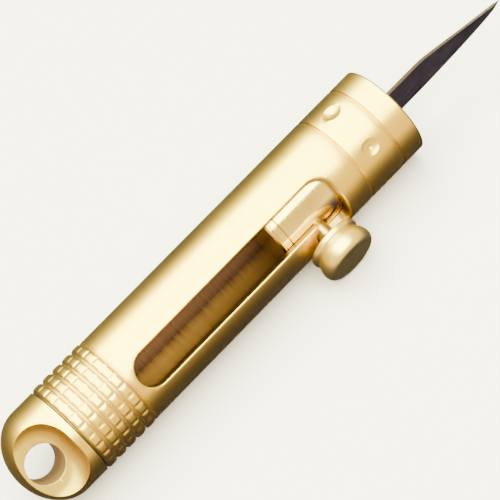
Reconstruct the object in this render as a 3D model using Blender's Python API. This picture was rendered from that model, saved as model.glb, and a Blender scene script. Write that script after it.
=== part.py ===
"""Bolt-action pocket knife: brass tube handle, sprung blade carriage and side knob.

Units are metres. +X runs along the handle to the blade tip and +Z is up. The knife
lies on its side, resting on the barrel and on the rim of the knob. Stations along the
handle are measured from the seam between the tail cap and the barrel. Angles are
measured about the handle's axis, from +Z towards -Y.
"""

import math

import bmesh
import bpy
from mathutils import Matrix, Vector

MM = 0.001

# barrel
BARREL_RADIUS = 6.5 * MM
BORE_RADIUS = 5.0 * MM
BARREL_LENGTH = 55.95 * MM
NOSE_WALL = 2.55 * MM
NOSE_HOLE_RADIUS = 2.5 * MM
NOSE_CHAMFER = 0.16 * MM
NOSE_GROOVES = (46.85 * MM, 52.55 * MM)
NOSE_GROOVE_WIDTH = 0.52 * MM
NOSE_GROOVE_DEPTH = 0.2 * MM
DIMPLE_STATION = 49.7 * MM
DIMPLE_RADIUS = 1.28 * MM
DIMPLE_DEPTH = 0.3 * MM
DIMPLE_COUNT = 6

# grip bands
BAND_COUNT = 5
BAND_START = 0.1 * MM
BAND_PITCH = 1.65 * MM
BAND_WIDTH = 1.5 * MM
BAND_SHOULDER = 0.28 * MM
BAND_TOP = 6.66 * MM
BAND_FLOOR = 6.3 * MM
PAD_COUNT = 26
PAD_GROOVE_ANGLE = 97.2
PAD_GROOVE_HALF = 2.4
PAD_GROOVE_RADIUS = 6.42 * MM
FINE_GROOVE = 8.47 * MM

# slot and notch in the barrel wall
KNOB_ANGLE = 107.2
SLOT_ANGLE = 53.2
SLOT_WIDTH = 4.8 * MM
SLOT_REAR = 9.45 * MM
SLOT_FRONT = 43.1 * MM
HOOK_STATION = 38.7 * MM
HOOK_ANGLE = 73.5
POCKET_RADIUS = 1.45 * MM
NOTCH_CORNER = 2.0 * MM

# tail cap
CAP_STRAIGHT = 3.4 * MM
CAP_DOME = 5.4 * MM
CAP_CHAMFER = 0.12 * MM
SEAM_GAP = 0.02 * MM
SPIGOT_RADIUS = 4.93 * MM
SPIGOT_LENGTH = 4.6 * MM
ORING_STATION = 3.3 * MM
ORING_WIRE = 0.45 * MM
ORING_GROOVE_RADIUS = 3.9 * MM
FACET_ANGLE = 49.0
FACET_HEIGHT = 3.15 * MM
FACET_EDGE = 1.16 * MM
FACET_HALF_WIDTH = 5.55 * MM
FACET_CORNER = 4.2 * MM
FACET_HOLLOW = 2.0 * MM
RING_HOLE_STATION = 5.2 * MM
RING_HOLE_RADIUS = 2.5 * MM

# blade carriage
CARRIER_REAR = 35.0 * MM
CARRIER_FRONT = 46.6 * MM
CARRIER_RADIUS = 4.92 * MM
PLUG_REAR = 33.5 * MM
PLUG_SPIGOT_RADIUS = 3.2 * MM
PLUG_SPIGOT_LENGTH = 1.6 * MM
TANG_SLOT_REAR = 36.9 * MM
WASHER_REAR = 46.7 * MM
WASHER_THICK = 0.4 * MM
WASHER_HOLE_RADIUS = 2.4 * MM

# return spring
SPRING_REAR = 47.15 * MM
SPRING_FRONT = 53.35 * MM
SPRING_RADIUS = 4.3 * MM
WIRE_RADIUS = 0.22 * MM
SPRING_TURNS = 9
WIRE_SIDES = 6
STEPS_PER_TURN = 18

# blade, its width standing upright and its heights measured towards the floor
BLADE_ANGLE = 175.7
BLADE_REAR = 37.1 * MM
BLADE_TIP = 76.9 * MM
BLADE_THICK = 0.45 * MM
SPINE_HEIGHT = 2.1 * MM
EDGE_HEIGHT = -2.1 * MM
TIP_HEIGHT = 0.86 * MM
BEVEL_WIDTH = 0.45 * MM
EDGE_THICK = 0.04 * MM
GRIND_START = 54.0 * MM
KNEE_STATION = 63.3 * MM
KNEE_ROUND = 0.8 * MM
EDGE_SLOPE = 0.2165
SPINE_DROP_START = 60.0 * MM

# bolt knob, radii out from the handle's axis
BOLT_STATION = 38.85 * MM
STUD_RADIUS = 1.3 * MM
STUD_HOLE_FOOT = 1.6 * MM
STUD_FOOT = 1.8 * MM
STUD_TOP = 4.75 * MM
COLLAR_FOOT = 6.95 * MM
COLLAR_TOP = 7.95 * MM
COLLAR_RADIUS = 3.65 * MM
KNOB_FOOT = 7.97 * MM
KNOB_TOP = 10.6 * MM
KNOB_RADIUS = 3.86 * MM
KNOB_FOOT_RADIUS = 3.32 * MM
KNOB_FACE_RADIUS = 3.1 * MM

CAP_STEPS = 64
CARRIER_STEPS = 56
KNOB_STEPS = 48


def clear_scene():
    for obj in list(bpy.data.objects):
        bpy.data.objects.remove(obj, do_unlink=True)


def make_material(name, colour, metallic, roughness):
    material = bpy.data.materials.new(name)
    material.use_nodes = True
    shader = material.node_tree.nodes["Principled BSDF"]
    shader.inputs["Base Color"].default_value = (*colour, 1.0)
    shader.inputs["Metallic"].default_value = metallic
    shader.inputs["Roughness"].default_value = roughness
    return material


def add_mesh(name, vertices, faces, root, material=None):
    """A mesh object from its vertices and faces, with its faces turned outwards."""
    mesh = bpy.data.meshes.new(name)
    mesh.from_pydata([tuple(v) for v in vertices], [], faces)
    work = bmesh.new()
    work.from_mesh(mesh)
    bmesh.ops.recalc_face_normals(work, faces=work.faces)
    work.to_mesh(mesh)
    work.free()
    obj = bpy.data.objects.new(name, mesh)
    bpy.context.scene.collection.objects.link(obj)
    obj.parent = root
    if material:
        mesh.materials.append(material)
    return obj


def smooth(obj):
    """Shades the round faces smooth and keeps the turned edges sharp."""
    obj.data.polygons.foreach_set("use_smooth", [True] * len(obj.data.polygons))
    obj.data.set_sharp_from_angle(angle=math.radians(30))


def around_axis(station, radius, degrees):
    """The point at a station along the handle, a radius from its axis and an angle."""
    turn = math.radians(degrees)
    return Vector((station, -radius * math.sin(turn), radius * math.cos(turn)))


def even_angles(steps, start=0.0):
    return [start + 360.0 * k / steps for k in range(steps)]


def revolve(name, profile, angles, root, material=None, shape=None):
    """A solid turned about X from a closed profile of (station, radius) points.

    A point with no radius becomes one vertex on the axis. shape, if given, changes
    the radius at each station, radius and angle.
    """
    vertices = []
    rings = []
    for station, radius in profile:
        if radius < 1e-9:
            rings.append([len(vertices)])
            vertices.append(Vector((station, 0, 0)))
            continue
        rings.append(range(len(vertices), len(vertices) + len(angles)))
        for angle in angles:
            far = shape(station, radius, angle) if shape else radius
            vertices.append(around_axis(station, far, angle))
    faces = []
    for here, there in zip(rings, rings[1:] + rings[:1]):
        if len(here) == 1 and len(there) == 1:
            continue
        for k in range(len(angles)):
            n = (k + 1) % len(angles)
            corners = [here[k % len(here)], here[n % len(here)]]
            corners += [there[n % len(there)], there[k % len(there)]]
            faces.append(tuple(dict.fromkeys(corners)))
    return add_mesh(name, vertices, faces, root, material)


def loft(name, rings, root):
    """A closed solid through rings with the same number of points."""
    count = len(rings[0])
    vertices = [point for ring in rings for point in ring]
    last = len(vertices) - count
    faces = [tuple(range(count)), tuple(range(last, last + count))]
    for low in range(0, last, count):
        for k in range(count):
            n = (k + 1) % count
            faces.append((low + k, low + n, low + count + n, low + count + k))
    return add_mesh(name, vertices, faces, root)


def extrude(name, outline, place_low, place_high, root):
    """A prism with its outline placed by one function at each end."""
    rings = [[place_low(*p) for p in outline], [place_high(*p) for p in outline]]
    return loft(name, rings, root)


def arc(centre, radius, start, end, steps):
    """Points on an arc from one angle to another, in degrees."""
    turns = [math.radians(start + (end - start) * k / steps) for k in range(steps + 1)]
    return [
        (centre[0] + radius * math.cos(t), centre[1] + radius * math.sin(t))
        for t in turns
    ]


def cut(target, cutter):
    """Cut one solid from another, leaving the cutter out of the part."""
    cutter.hide_render = True
    cutter.display_type = "WIRE"
    boolean = target.modifiers.new(cutter.name, "BOOLEAN")
    boolean.operation = "DIFFERENCE"
    boolean.solver = "EXACT"
    boolean.object = cutter


def turn_upright(obj, degrees):
    """Turn an object built along +Z so that it points at an angle about the axis."""
    obj.rotation_euler = (math.radians(degrees), 0, 0)


def pad_angles():
    """Angles of the barrel's facets: the middle of each pad groove and its two sides."""
    pitch = 360.0 / PAD_COUNT
    angles = []
    for k in range(PAD_COUNT):
        middle = PAD_GROOVE_ANGLE + k * pitch
        angles += [middle, middle + PAD_GROOVE_HALF, middle + pitch - PAD_GROOVE_HALF]
    return angles


def pad_shape(station, radius, angle):
    """Sinks a grip band where a pad groove crosses it."""
    turn = (angle - PAD_GROOVE_ANGLE) % (360.0 / PAD_COUNT)
    in_bands = station < BAND_START + BAND_COUNT * BAND_PITCH
    if in_bands and radius > PAD_GROOVE_RADIUS and min(turn, 1.0) < 1e-6:
        return PAD_GROOVE_RADIUS
    return radius


def band_profile():
    points = [(0, BAND_FLOOR)]
    for k in range(BAND_COUNT):
        start = BAND_START + k * BAND_PITCH
        end = start + BAND_WIDTH
        points += [
            (start, BAND_FLOOR),
            (start + BAND_SHOULDER, BAND_TOP),
            (end - BAND_SHOULDER, BAND_TOP),
            (end, BAND_FLOOR),
        ]
    return points


def groove_profile(middle, width, depth):
    return [
        (middle - width / 2, BARREL_RADIUS),
        (middle - width / 4, BARREL_RADIUS - depth),
        (middle + width / 4, BARREL_RADIUS - depth),
        (middle + width / 2, BARREL_RADIUS),
    ]


def barrel_profile():
    land = BAND_START + BAND_COUNT * BAND_PITCH - 0.1 * MM
    nose = BARREL_LENGTH
    points = [(0, BORE_RADIUS)] + band_profile()
    points += [(land, BAND_FLOOR), (land + 0.05 * MM, BARREL_RADIUS)]
    points += groove_profile(FINE_GROOVE, 0.14 * MM, 0.08 * MM)
    for middle in NOSE_GROOVES:
        points += groove_profile(middle, NOSE_GROOVE_WIDTH, NOSE_GROOVE_DEPTH)
    points += [
        (nose - NOSE_CHAMFER, BARREL_RADIUS),
        (nose, BARREL_RADIUS - NOSE_CHAMFER),
        (nose, NOSE_HOLE_RADIUS + 0.2 * MM),
        (nose - 0.2 * MM, NOSE_HOLE_RADIUS),
        (nose - NOSE_WALL, NOSE_HOLE_RADIUS),
        (nose - NOSE_WALL, BORE_RADIUS),
    ]
    return points


def slot_outline():
    half = SLOT_WIDTH / 2
    rear = arc((SLOT_REAR + half, 0), half, 90, 270, 14)
    front = arc((SLOT_FRONT - half, 0), half, -90, 90, 14)
    return rear + front


def notch_outline():
    """The bolt's way out of the slot and back into its pocket, as (station, angle).

    The wall behind the hook falls away into the pocket, so the knob is held there by
    the return spring. Arcs are drawn in metres along the wall, then made angles.
    """
    degrees_per_metre = math.degrees(1 / BARREL_RADIUS)
    pocket = (BOLT_STATION, 0)
    low = POCKET_RADIUS
    corner = (SLOT_FRONT - NOTCH_CORNER, low - NOTCH_CORNER)
    points = arc(pocket, POCKET_RADIUS, 180, 90, 6)
    points += arc(corner, NOTCH_CORNER, 90, 0, 6)
    points = [(x, KNOB_ANGLE + y * degrees_per_metre) for x, y in points]
    points.append((SLOT_FRONT, SLOT_ANGLE))
    points.append((HOOK_STATION, SLOT_ANGLE))
    points.append((HOOK_STATION, HOOK_ANGLE))
    rear = BOLT_STATION - POCKET_RADIUS
    slope = 18.0
    for k in range(1, 4):
        share = math.sin(math.radians(90 * k / 4))
        step = (HOOK_STATION - rear) * share
        points.append((HOOK_STATION - step, HOOK_ANGLE + slope * k / 4))
    points.append((rear, HOOK_ANGLE + slope))
    return points


def build_barrel(root, material):
    barrel = revolve(
        "barrel", barrel_profile(), pad_angles(), root, material, pad_shape
    )
    smooth(barrel)
    slot = extrude(
        "slot cutter",
        slot_outline(),
        lambda x, y: Vector((x, y, 3 * MM)),
        lambda x, y: Vector((x, y, 8 * MM)),
        root,
    )
    turn_upright(slot, SLOT_ANGLE)
    cut(barrel, slot)
    notch = extrude(
        "notch cutter",
        fine_sector(notch_outline()),
        lambda x, angle: around_axis(x, BORE_RADIUS - 0.9 * MM, angle),
        lambda x, angle: around_axis(x, BARREL_RADIUS + 1 * MM, angle),
        root,
    )
    triangulate(notch)
    cut(barrel, notch)
    for k in range(DIMPLE_COUNT):
        cut(barrel, dimple_cutter(k, root))
    return barrel


def fine_sector(outline, widest=6.0):
    """Adds points to an outline so that no side spans a wide angle."""
    points = []
    for here, there in zip(outline, outline[1:] + outline[:1]):
        pieces = max(1, math.ceil(abs(there[1] - here[1]) / widest))
        for k in range(pieces):
            share = k / pieces
            points.append(
                (
                    here[0] + (there[0] - here[0]) * share,
                    here[1] + (there[1] - here[1]) * share,
                )
            )
    return points


def triangulate(obj):
    work = bmesh.new()
    work.from_mesh(obj.data)
    bmesh.ops.triangulate(work, faces=work.faces, ngon_method="EAR_CLIP")
    work.to_mesh(obj.data)
    work.free()


def dimple_cutter(index, root):
    """A ball whose cap sinks a shallow round dimple in the nose."""
    ball = (DIMPLE_RADIUS**2 + DIMPLE_DEPTH**2) / (2 * DIMPLE_DEPTH)
    work = bmesh.new()
    bmesh.ops.create_uvsphere(work, u_segments=24, v_segments=28, radius=ball)
    mesh = bpy.data.meshes.new("dimple cutter")
    work.to_mesh(mesh)
    work.free()
    cutter = bpy.data.objects.new(f"dimple cutter {index + 1}", mesh)
    bpy.context.scene.collection.objects.link(cutter)
    cutter.parent = root
    angle = SLOT_ANGLE + index * 360.0 / DIMPLE_COUNT
    centre = BARREL_RADIUS - DIMPLE_DEPTH + ball
    cutter.location = around_axis(DIMPLE_STATION, centre, angle)
    turn_upright(cutter, angle)
    return cutter


def cap_profile():
    front = -SEAM_GAP
    groove_rear = ORING_STATION - 0.6 * MM
    groove_front = ORING_STATION + 0.6 * MM
    dome = arc((0, 0), 1.0, 180, 90, 10)
    points = [
        (-CAP_STRAIGHT + CAP_DOME * x, BARREL_RADIUS * y if y < 1 else BARREL_RADIUS)
        for x, y in dome
    ]
    points[0] = (points[0][0], 0)
    points += [
        (front - CAP_CHAMFER, BARREL_RADIUS),
        (front, BARREL_RADIUS - CAP_CHAMFER),
        (front, SPIGOT_RADIUS),
        (groove_rear, SPIGOT_RADIUS),
        (groove_rear, ORING_GROOVE_RADIUS),
        (groove_front, ORING_GROOVE_RADIUS),
        (groove_front, SPIGOT_RADIUS),
        (SPIGOT_LENGTH - 0.3 * MM, SPIGOT_RADIUS),
        (SPIGOT_LENGTH, SPIGOT_RADIUS - 0.3 * MM),
        (SPIGOT_LENGTH, 0),
    ]
    return points


def facet_outline(inset):
    """A finger flat seen square on, drawn in from its brink by an inset."""
    corner_x = -FACET_EDGE - FACET_CORNER
    corner_y = FACET_HALF_WIDTH - FACET_CORNER
    radius = FACET_CORNER - inset
    far = -13 * MM
    points = arc((corner_x, -corner_y), radius, -90, 0, 7)
    points += arc((corner_x, corner_y), radius, 0, 90, 7)
    return points + [(far, corner_y + radius), (far, -corner_y - radius)]


def facet_cutter(name, root):
    """A level floor that runs up to the brink in a hollow curve."""
    levels = []
    for rise, inset in arc((0, 1), 1.0, -90, 0, 5):
        levels.append((FACET_HEIGHT + FACET_HOLLOW * inset, FACET_HOLLOW * (1 - rise)))
    levels.append((9 * MM, 0))
    rings = [[Vector((x, y, z)) for x, y in facet_outline(inset)] for z, inset in levels]
    return loft(name, rings, root)


def build_tail_cap(root, material):
    cap = revolve("tail_cap", cap_profile(), even_angles(CAP_STEPS), root, material)
    smooth(cap)
    for side in range(2):
        facet = facet_cutter(f"facet cutter {side + 1}", root)
        turn_upright(facet, FACET_ANGLE + 180 * side)
        cut(cap, facet)
    hole = extrude(
        "ring hole cutter",
        arc((-RING_HOLE_STATION, 0), RING_HOLE_RADIUS, 0, 352.5, 47),
        lambda x, y: Vector((x, y, -8 * MM)),
        lambda x, y: Vector((x, y, 8 * MM)),
        root,
    )
    turn_upright(hole, FACET_ANGLE)
    cut(cap, hole)
    return cap


def build_oring(root, material):
    centre = (ORING_STATION, ORING_GROOVE_RADIUS + 0.05 * MM + ORING_WIRE)
    profile = arc(centre, ORING_WIRE, 0, 324, 9)
    ring = revolve("tail_cap_oring", profile, even_angles(40), root, material)
    smooth(ring)
    return ring


def build_spring(root, material):
    """A wire coil with its end turns closed up, wound about the handle's axis."""
    steps = SPRING_TURNS * STEPS_PER_TURN
    travel = SPRING_FRONT - SPRING_REAR - 2 * WIRE_RADIUS
    closed = 2 * WIRE_RADIUS * 1.06
    vertices = []
    for k in range(steps + 1):
        turns = k / STEPS_PER_TURN
        free = SPRING_TURNS - 2
        rise = (travel - 2 * closed) / free
        along = min(turns, 1) * closed
        along += min(max(turns - 1, 0), free) * rise
        along += max(turns - 1 - free, 0) * closed
        middle = SPRING_REAR + WIRE_RADIUS + along
        for side in range(WIRE_SIDES):
            turn = 2 * math.pi * side / WIRE_SIDES
            vertices.append(
                around_axis(
                    middle + WIRE_RADIUS * math.cos(turn),
                    SPRING_RADIUS + WIRE_RADIUS * math.sin(turn),
                    360.0 * turns,
                )
            )
    faces = [tuple(range(WIRE_SIDES))]
    faces.append(tuple(range(steps * WIRE_SIDES, (steps + 1) * WIRE_SIDES)))
    for k in range(steps):
        for side in range(WIRE_SIDES):
            n = (side + 1) % WIRE_SIDES
            low = k * WIRE_SIDES
            high = low + WIRE_SIDES
            faces.append((low + side, low + n, high + n, high + side))
    spring = add_mesh("return_spring", vertices, faces, root, material)
    smooth(spring)
    return spring


def build_washer(root, material):
    profile = [
        (WASHER_REAR, WASHER_HOLE_RADIUS),
        (WASHER_REAR, CARRIER_RADIUS),
        (WASHER_REAR + WASHER_THICK, CARRIER_RADIUS),
        (WASHER_REAR + WASHER_THICK, WASHER_HOLE_RADIUS),
    ]
    washer = revolve("thrust_washer", profile, even_angles(48), root, material)
    smooth(washer)
    return washer


def build_carrier(root, material):
    """The turned carrier, open at the front for the blade's tang."""
    edge = 0.15 * MM
    clear = 0.05 * MM
    profile = [
        (CARRIER_REAR + PLUG_SPIGOT_LENGTH, 0),
        (CARRIER_REAR + PLUG_SPIGOT_LENGTH, PLUG_SPIGOT_RADIUS + clear),
        (CARRIER_REAR, PLUG_SPIGOT_RADIUS + clear),
        (CARRIER_REAR, CARRIER_RADIUS - edge),
        (CARRIER_REAR + edge, CARRIER_RADIUS),
        (CARRIER_FRONT - edge, CARRIER_RADIUS),
        (CARRIER_FRONT, CARRIER_RADIUS - edge),
        (CARRIER_FRONT, 0),
    ]
    steps = even_angles(CARRIER_STEPS)
    carrier = revolve("blade_carrier", profile, steps, root, material)
    smooth(carrier)
    low = EDGE_HEIGHT - 0.04 * MM
    high = SPINE_HEIGHT + 0.04 * MM
    half = BLADE_THICK / 2 + 0.04 * MM
    tang = extrude(
        "tang slot cutter",
        [(-half, low), (half, low), (half, high), (-half, high)],
        lambda y, z: Vector((TANG_SLOT_REAR, y, z)),
        lambda y, z: Vector((CARRIER_FRONT + 1 * MM, y, z)),
        root,
    )
    turn_upright(tang, BLADE_ANGLE)
    cut(carrier, tang)
    stud_hole = extrude(
        "stud hole cutter",
        arc((BOLT_STATION, 0), STUD_RADIUS + clear, 0, 345, 23),
        lambda x, y: Vector((x, y, STUD_HOLE_FOOT)),
        lambda x, y: Vector((x, y, 6 * MM)),
        root,
    )
    turn_upright(stud_hole, KNOB_ANGLE)
    cut(carrier, stud_hole)
    return carrier


def build_plug(root, material):
    """The plug that closes the back of the carrier, with its grooved band."""
    band = CARRIER_RADIUS - 0.12 * MM
    back = PLUG_REAR
    profile = [
        (back, 0),
        (back, CARRIER_RADIUS - 0.3 * MM),
        (back + 0.3 * MM, CARRIER_RADIUS),
        (back + 0.42 * MM, CARRIER_RADIUS),
        (back + 0.5 * MM, band),
        (back + 0.58 * MM, CARRIER_RADIUS),
        (CARRIER_REAR - 0.12 * MM, CARRIER_RADIUS),
        (CARRIER_REAR - 0.02 * MM, band),
        (CARRIER_REAR - 0.02 * MM, PLUG_SPIGOT_RADIUS),
        (CARRIER_REAR + PLUG_SPIGOT_LENGTH - 0.05 * MM, PLUG_SPIGOT_RADIUS),
        (CARRIER_REAR + PLUG_SPIGOT_LENGTH - 0.05 * MM, 0),
    ]
    steps = even_angles(CARRIER_STEPS)
    plug = revolve("carrier_end_plug", profile, steps, root, material)
    smooth(plug)
    return plug


def blade_section(station):
    """Heights of the spine and the edge, and the bevel's width, at one station.

    The edge is straight behind the knee and straight again before it, and the knee
    between them is rounded. The spine drops gently to the tip.
    """
    past = station - KNEE_STATION
    edge = EDGE_HEIGHT + EDGE_SLOPE * (past + math.hypot(past, KNEE_ROUND)) / 2
    share = (station - SPINE_DROP_START) / (BLADE_TIP - SPINE_DROP_START)
    share = max(0.0, share)
    drop = SPINE_HEIGHT - TIP_HEIGHT
    spine = SPINE_HEIGHT - drop * (0.65 * share**1.9 + 0.35 * share**12)
    grind = min(1.0, max(0.0, (station - GRIND_START) / (1.2 * MM)))
    bevel = min(BEVEL_WIDTH * grind, (spine - edge) * 0.3)
    return spine, edge, bevel


def build_blade(root, material):
    """A flat blade ground on one edge, running to a point beside its spine."""
    stations = [BLADE_REAR, GRIND_START, GRIND_START + 1.2 * MM]
    count = 18
    stations += [
        SPINE_DROP_START + (BLADE_TIP - SPINE_DROP_START) * min(k / count, 0.99)
        for k in range(count + 1)
    ]
    half = BLADE_THICK / 2
    vertices = []
    for station in stations:
        spine, edge, bevel = blade_section(station)
        thin = half if bevel <= 0 else EDGE_THICK / 2
        back = min(half, (spine - edge) * 0.4)
        thin = min(thin, back)
        height = edge + max(bevel, 0.1 * (spine - edge))
        for y, z in ((back, spine), (back, height), (thin, edge)):
            vertices += [Vector((station, y, z)), Vector((station, -y, z))]
    vertices.append(Vector((BLADE_TIP, 0, TIP_HEIGHT)))
    ring = (0, 2, 4, 5, 3, 1)
    last = (len(stations) - 1) * 6
    faces = [ring]
    for k in range(len(stations) - 1):
        for here, there in zip(ring, ring[1:] + ring[:1]):
            low = k * 6
            faces.append((low + here, low + there, low + 6 + there, low + 6 + here))
    for here, there in zip(ring, ring[1:] + ring[:1]):
        faces.append((last + here, last + there, len(vertices) - 1))
    blade = add_mesh("blade", vertices, faces, root, material)
    turn_upright(blade, BLADE_ANGLE)
    return blade


def turned_on_bolt(name, profile, root, material, steps=KNOB_STEPS):
    """A solid turned about the bolt's own axis from (height, radius) points."""
    piece = revolve(name, profile, even_angles(steps), root, material)
    # the profile was turned about X, and the bolt stands on Z
    piece.data.transform(Matrix.Rotation(math.radians(-90), 4, "Y"))
    piece.data.transform(Matrix.Translation((BOLT_STATION, 0, 0)))
    smooth(piece)
    turn_upright(piece, KNOB_ANGLE)
    return piece


def build_bolt(root, material):
    """Stud, collar and knob. The neck between stud and collar is left open."""
    edge = 0.15 * MM
    stud = [
        (STUD_FOOT, 0),
        (STUD_FOOT, STUD_RADIUS - edge),
        (STUD_FOOT + edge, STUD_RADIUS),
        (STUD_TOP, STUD_RADIUS),
        (STUD_TOP, 0),
    ]
    collar = [
        (COLLAR_FOOT, 0),
        (COLLAR_FOOT, COLLAR_RADIUS - 0.25 * MM),
        (COLLAR_FOOT + 0.25 * MM, COLLAR_RADIUS),
        (COLLAR_TOP - 0.25 * MM, COLLAR_RADIUS),
        (COLLAR_TOP, COLLAR_RADIUS - 0.25 * MM),
        (COLLAR_TOP, 0),
    ]
    waist = KNOB_FOOT + 1.5 * MM
    knob = [
        (KNOB_FOOT, 0),
        (KNOB_FOOT, KNOB_FOOT_RADIUS),
        (KNOB_FOOT + 0.5 * MM, KNOB_FOOT_RADIUS + 0.26 * MM),
        (waist - 0.35 * MM, KNOB_RADIUS - 0.04 * MM),
        (waist, KNOB_RADIUS),
    ]
    rim_high = KNOB_TOP - waist
    rim_wide = KNOB_RADIUS - KNOB_FACE_RADIUS
    for height, width in arc((0, 0), 1.0, 0, 90, 5)[1:]:
        knob.append((waist + rim_high * width, KNOB_FACE_RADIUS + rim_wide * height))
    knob.append((KNOB_TOP, 0))
    turned_on_bolt("bolt_stud", stud, root, material, 24)
    turned_on_bolt("knob_collar", collar, root, material)
    turned_on_bolt("bolt_knob", knob, root, material)


def stand_on_floor(root):
    """Move the knife so that its bounds are centred over the origin and start at z=0."""
    bpy.context.view_layer.update()
    corners = []
    for obj in root.children:
        if obj.type == "MESH" and not obj.hide_render:
            corners += [obj.matrix_world @ v.co for v in obj.data.vertices]
    low = [min(c[k] for c in corners) for k in range(3)]
    high = [max(c[k] for c in corners) for k in range(3)]
    root.location = (-(low[0] + high[0]) / 2, -(low[1] + high[1]) / 2, -low[2])
    bpy.context.view_layer.update()


def main():
    clear_scene()
    root = bpy.data.objects.new("handle axis", None)
    bpy.context.scene.collection.objects.link(root)
    brass = make_material("brass", (0.75, 0.56, 0.26), 1.0, 0.32)
    bright_brass = make_material("polished brass", (0.83, 0.62, 0.27), 1.0, 0.15)
    steel = make_material("blade steel", (0.16, 0.14, 0.145), 1.0, 0.3)
    spring_steel = make_material("spring steel", (0.55, 0.56, 0.58), 1.0, 0.3)
    rubber = make_material("seal rubber", (0.02, 0.02, 0.02), 0.0, 0.6)
    build_barrel(root, brass)
    build_tail_cap(root, brass)
    build_oring(root, rubber)
    build_spring(root, spring_steel)
    build_washer(root, bright_brass)
    build_carrier(root, bright_brass)
    build_plug(root, bright_brass)
    build_blade(root, steel)
    build_bolt(root, brass)
    stand_on_floor(root)


main()
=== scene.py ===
"""Looks of the bolt-action pocket knife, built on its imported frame."""

import math

import bmesh
import bpy
from mathutils import Matrix, Vector


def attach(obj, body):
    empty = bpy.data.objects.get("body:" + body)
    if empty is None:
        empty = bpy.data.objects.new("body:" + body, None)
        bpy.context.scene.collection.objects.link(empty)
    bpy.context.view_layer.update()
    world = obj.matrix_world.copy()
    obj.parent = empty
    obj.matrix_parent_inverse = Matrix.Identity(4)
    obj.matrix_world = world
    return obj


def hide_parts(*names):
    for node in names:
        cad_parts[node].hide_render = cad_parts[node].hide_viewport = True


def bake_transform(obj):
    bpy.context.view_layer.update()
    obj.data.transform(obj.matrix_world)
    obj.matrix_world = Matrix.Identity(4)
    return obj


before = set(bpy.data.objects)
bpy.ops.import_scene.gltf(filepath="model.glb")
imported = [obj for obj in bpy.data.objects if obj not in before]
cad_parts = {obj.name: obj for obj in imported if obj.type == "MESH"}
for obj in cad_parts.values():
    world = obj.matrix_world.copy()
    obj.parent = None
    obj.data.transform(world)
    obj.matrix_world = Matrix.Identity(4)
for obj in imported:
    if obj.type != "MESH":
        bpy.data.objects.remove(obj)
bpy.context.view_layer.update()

# Lengths are in millimetres. Stations run along the handle from the seam between the
# tail cap and the barrel, radii start at the handle's axis, and angles in degrees turn
# about it from straight up towards the knob.
MM = 0.001
AXIS_Y = 2.2088
AXIS_Z = 6.6554
SEAM_X = -34.05

BARREL_R = 6.5
BORE_R = 5.0
BARREL_END = 55.95
BARREL_CHAMFER = 0.12

BANDS = 5
BAND_FLOOR = 6.3
BAND_TOP = 6.62
BAND_PITCH = 1.65
BAND_WIDTH = 1.52
GRIP_END = 8.3
PADS = 26
PAD_FLOOR = 6.53
PAD_GROOVE_ANGLE = 97.2

NOSE_GROOVES = (46.85, 52.55)
NOSE_GROOVE_HALF = 0.26
NOSE_GROOVE_DEPTH = 0.2
DIMPLES = 6
DIMPLE_STATION = 49.7

SLOT_ANGLE = 53.2
SLOT_HALF = 2.4
SLOT_REAR = 9.45
SLOT_FRONT = 43.1
HOOK_STATION = 38.7
BRINK = 0.26
# Painted light: the angle round the axis of the bright strip painted in the bore.
PAINTED_LIGHT_ANGLE = 182.0

FACET_ANGLE = 49.0
FACET_FLOOR = 3.15
CUTTER_TOP = 9.0
RING_HOLE_R = 2.5
RING_HOLE_STATION = -5.2

KNOB_ANGLE = 107.2
BOLT_STATION = 38.85
CARRIER_R = 4.92

BLADE_ANGLE = 175.7
BLADE_HALF_WIDTH = 2.1
BLADE_HALF_THICK = 0.2
BLADE_TIP = 76.9
TIP_HEIGHT = 0.86
GRIND_START = 54.0
GRIND_RUN = 1.2


# ---------------------------------------------------------------- shape helpers


def point(station, radius, degrees):
    """Row-frame point, in metres, from millimetres along and out from the axis."""
    turn = math.radians(degrees)
    return Vector(
        (
            (SEAM_X + station) * MM,
            (AXIS_Y - radius * math.sin(turn)) * MM,
            (AXIS_Z + radius * math.cos(turn)) * MM,
        )
    )


def upright(x, y, z, degrees):
    """Row-frame point of a place beside a radius: y across it, z along it."""
    turn = math.radians(degrees)
    return Vector(
        (
            (SEAM_X + x) * MM,
            (AXIS_Y + y * math.cos(turn) - z * math.sin(turn)) * MM,
            (AXIS_Z + y * math.sin(turn) + z * math.cos(turn)) * MM,
        )
    )


def mesh_object(name, vertices, faces, materials, indices=None, sharp=30):
    mesh = bpy.data.meshes.new(name)
    mesh.from_pydata(vertices, [], faces)
    for material in materials:
        mesh.materials.append(material)
    if indices:
        mesh.polygons.foreach_set("material_index", indices)
    work = bmesh.new()
    work.from_mesh(mesh)
    bmesh.ops.recalc_face_normals(work, faces=work.faces)
    work.to_mesh(mesh)
    work.free()
    obj = bpy.data.objects.new(name, mesh)
    bpy.context.scene.collection.objects.link(obj)
    shade(obj, sharp)
    return obj


def shade(obj, sharp=30):
    obj.data.polygons.foreach_set("use_smooth", [True] * len(obj.data.polygons))
    obj.data.set_sharp_from_angle(angle=math.radians(sharp))


def revolve(name, profile, angles, materials, place=point, shape=None, slots=None):
    """A closed solid turned from (station, radius) points listed round its outline."""
    vertices, rings = [], []
    for station, radius in profile:
        if radius < 1e-9:
            rings.append([len(vertices)])
            vertices.append(place(station, 0, 0))
            continue
        rings.append(range(len(vertices), len(vertices) + len(angles)))
        for angle in angles:
            far = shape(station, radius, angle) if shape else radius
            vertices.append(place(station, far, angle))
    faces, indices = [], []
    for row, (here, there) in enumerate(zip(rings, rings[1:] + rings[:1])):
        if len(here) == 1 and len(there) == 1:
            continue
        for k in range(len(angles)):
            n = (k + 1) % len(angles)
            corners = [here[k % len(here)], here[n % len(here)]]
            corners += [there[n % len(there)], there[k % len(there)]]
            faces.append(tuple(dict.fromkeys(corners)))
            indices.append(slots[row] if slots else 0)
    return mesh_object(name, vertices, faces, materials, indices)


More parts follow.
